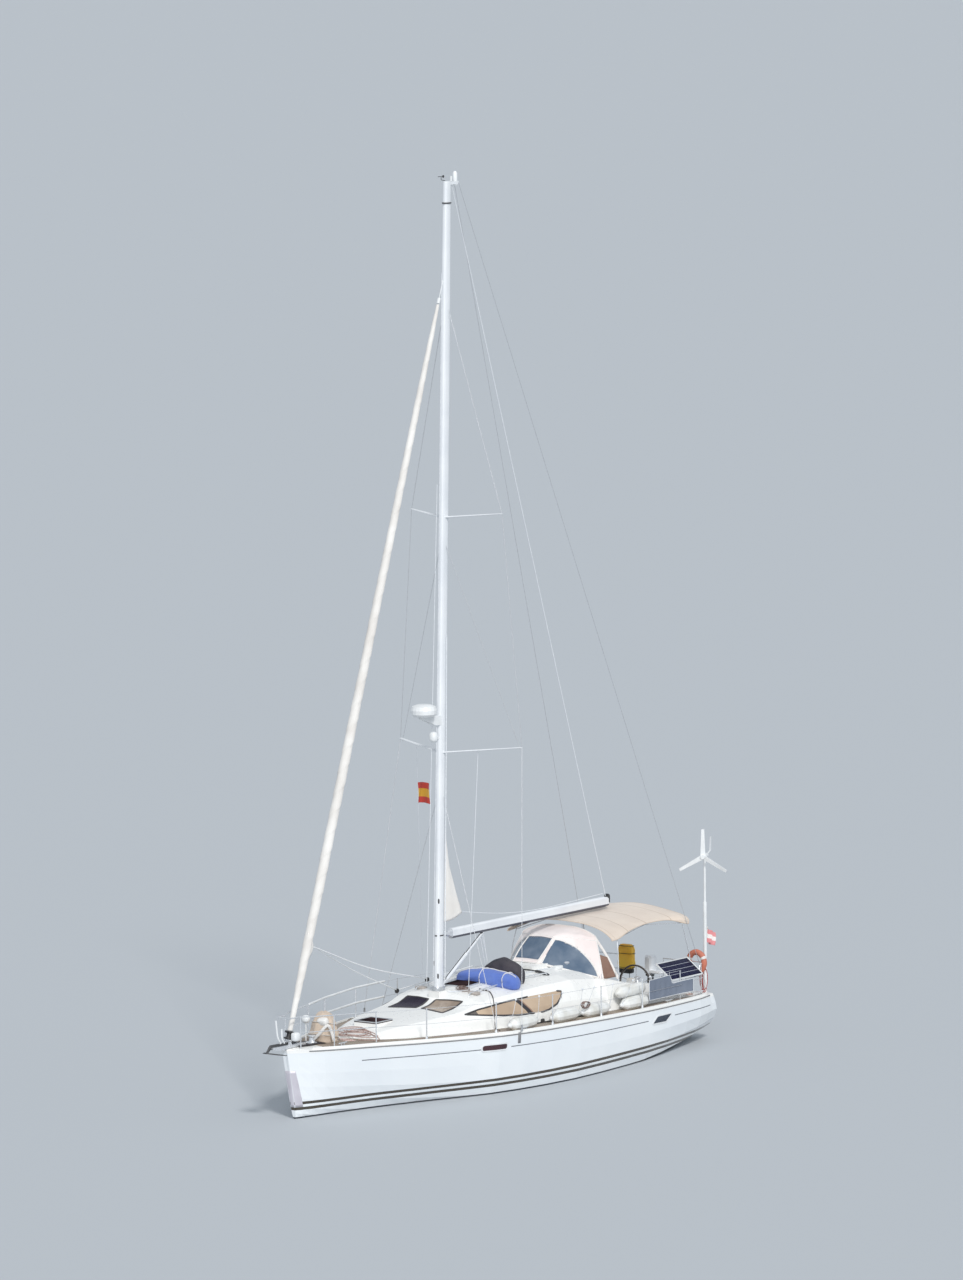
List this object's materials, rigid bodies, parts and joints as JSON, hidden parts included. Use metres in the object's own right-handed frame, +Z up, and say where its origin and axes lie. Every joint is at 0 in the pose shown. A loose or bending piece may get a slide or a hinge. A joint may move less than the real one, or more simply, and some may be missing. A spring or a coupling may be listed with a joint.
{
  "type": "sailing yacht",
  "caption": "Cruising sailing yacht with a raised saloon roof, furled headsail, twin wheels, sprayhood, canopy, fin keel and spade rudder.",
  "frame": {"origin": "on the waterline, on the centreline and amidships", "axes": "+X towards the bow, +Y to port, +Z up"},
  "size_m": [13.5376, 4.1192, 20.1257],
  "materials": {
    "gelcoat": "white gelcoat with a soft shine",
    "deck_gelcoat": "off-white moulded deck",
    "tinted_glass": "bronze tinted glazing",
    "smoked_acrylic": "dark smoked acrylic",
    "iron": "painted dark grey",
    "antifouling": "matt dark bottom paint",
    "bronze": "dull bronze",
    "alloy": "white lacquered and anodised spars",
    "stainless": "polished rails and wire",
    "sailcloth": "white woven cloth",
    "spray_canvas": "off-white coated canvas",
    "beige_canvas": "beige acrylic canvas",
    "tan_canvas": "tan folded canvas",
    "blue_cloth": "blue coated cloth",
    "yellow_cloth": "yellow coated cloth",
    "black_plastic": "black moulded",
    "white_plastic": "white moulded",
    "orange_foam": "orange covered foam",
    "galvanised": "dark galvanised",
    "teak": "oiled teak",
    "solar_cells": "dark cells under glass"
  },
  "bodies": {
    "yacht_body": {"hull": "gelcoat", "deck_moulding": "deck_gelcoat", "coachroof": "deck_gelcoat", "cockpit": "deck_gelcoat", "side_window_port": "tinted_glass", "side_window_starboard": "tinted_glass", "drop_board": "smoked_acrylic", "keel": "iron", "saildrive_leg": "iron", "mast": "alloy", "spreader_lower_port": "alloy", "spreader_upper_port": "alloy", "cap_shroud_port": "stainless", "lower_shroud_port": "stainless", "backstay_port": "stainless", "spreader_lower_starboard": "alloy", "spreader_upper_starboard": "alloy", "cap_shroud_starboard": "stainless", "lower_shroud_starboard": "stainless", "backstay_starboard": "stainless", "furled_genoa": "sailcloth", "furling_drum": "black_plastic", "forestay_head": "stainless", "guard_rail_port": "stainless", "guard_rail_starboard": "stainless", "pulpit": "stainless", "pushpit_port": "stainless", "pushpit_starboard": "stainless", "bow_roller": "stainless", "anchor": "galvanised", "windlass": "stainless", "foredeck_bag": "tan_canvas", "sprayhood": "spray_canvas", "bimini": "beige_canvas", "bimini_frame": "stainless", "solar_panel": "solar_cells", "wind_pole": "white_plastic", "outboard_motor": "white_plastic", "lifebuoy": "orange_foam", "rescue_bag": "yellow_cloth", "ensign_staff": "white_plastic", "radar_dome": "white_plastic", "cockpit_table": "teak", "fender_1": "white_plastic", "fender_2": "white_plastic", "fender_3": "white_plastic", "fender_4": "white_plastic", "dinghy_bundle": "blue_cloth"},
    "boom_body": {"boom": "alloy", "gooseneck": "black_plastic", "boom_vang": "alloy", "mainsail_clew": "sailcloth"},
    "rudder_blade": {"rudder": "antifouling"},
    "screw": {"propeller": "bronze"},
    "helm_port": {"helm_wheel_port": "stainless"},
    "helm_starboard": {"helm_wheel_starboard": "stainless"},
    "wind_nacelle": {"wind_head": "white_plastic"},
    "wind_blades": {"wind_rotor": "white_plastic"},
    "sliding_hatch": {"companion_hatch": "smoked_acrylic"},
    "foredeck_hatch": {"fore_hatch": "smoked_acrylic"}
  },
  "joints": [
    {"name": "boom_swing", "type": "hinge", "parent": "yacht_body", "child": "boom_body", "pos_m": [1.105, 0, 3], "axis": [-0.0323, 0, 0.9995], "range_deg": [-70, 70]},
    {"name": "rudder_turn", "type": "hinge", "parent": "yacht_body", "child": "rudder_blade", "pos_m": [-5.15, 0, -0.4], "axis": [0, 0, 1], "range_deg": [-35, 35]},
    {"name": "helm_turn_port", "type": "hinge", "parent": "yacht_body", "child": "helm_port", "pos_m": [-4.56, 0.72, 1.33], "axis": [1, 0, 0], "range_deg": [-280, 280]},
    {"name": "helm_turn_starboard", "type": "hinge", "parent": "yacht_body", "child": "helm_starboard", "pos_m": [-4.56, -0.72, 1.33], "axis": [1, 0, 0], "range_deg": [-280, 280]},
    {"name": "propeller_spin", "type": "hinge", "parent": "yacht_body", "child": "screw", "pos_m": [-2.2645, 0, -0.95], "axis": [1, 0, 0], "continuous": true},
    {"name": "wind_yaw", "type": "hinge", "parent": "yacht_body", "child": "wind_nacelle", "pos_m": [-6.08, 1.4, 3.86], "axis": [0, 0, 1], "continuous": true},
    {"name": "wind_spin", "type": "hinge", "parent": "wind_nacelle", "child": "wind_blades", "pos_m": [-5.94233, 1.45011, 3.86], "axis": [0.9397, 0.342, 0], "continuous": true},
    {"name": "companion_hatch_slide", "type": "slide", "parent": "yacht_body", "child": "sliding_hatch", "axis": [1, 0, 0], "range_m": [0, 0.5]},
    {"name": "fore_hatch_open", "type": "hinge", "parent": "yacht_body", "child": "foredeck_hatch", "pos_m": [3.74, 0, 1.57], "axis": [0, 1, 0], "range_deg": [0, 95]}
  ],
  "couplings": [
    {"joint": "helm_turn_port", "follows": "rudder_turn", "ratio": 8},
    {"joint": "helm_turn_starboard", "follows": "rudder_turn", "ratio": 8}
  ]
}
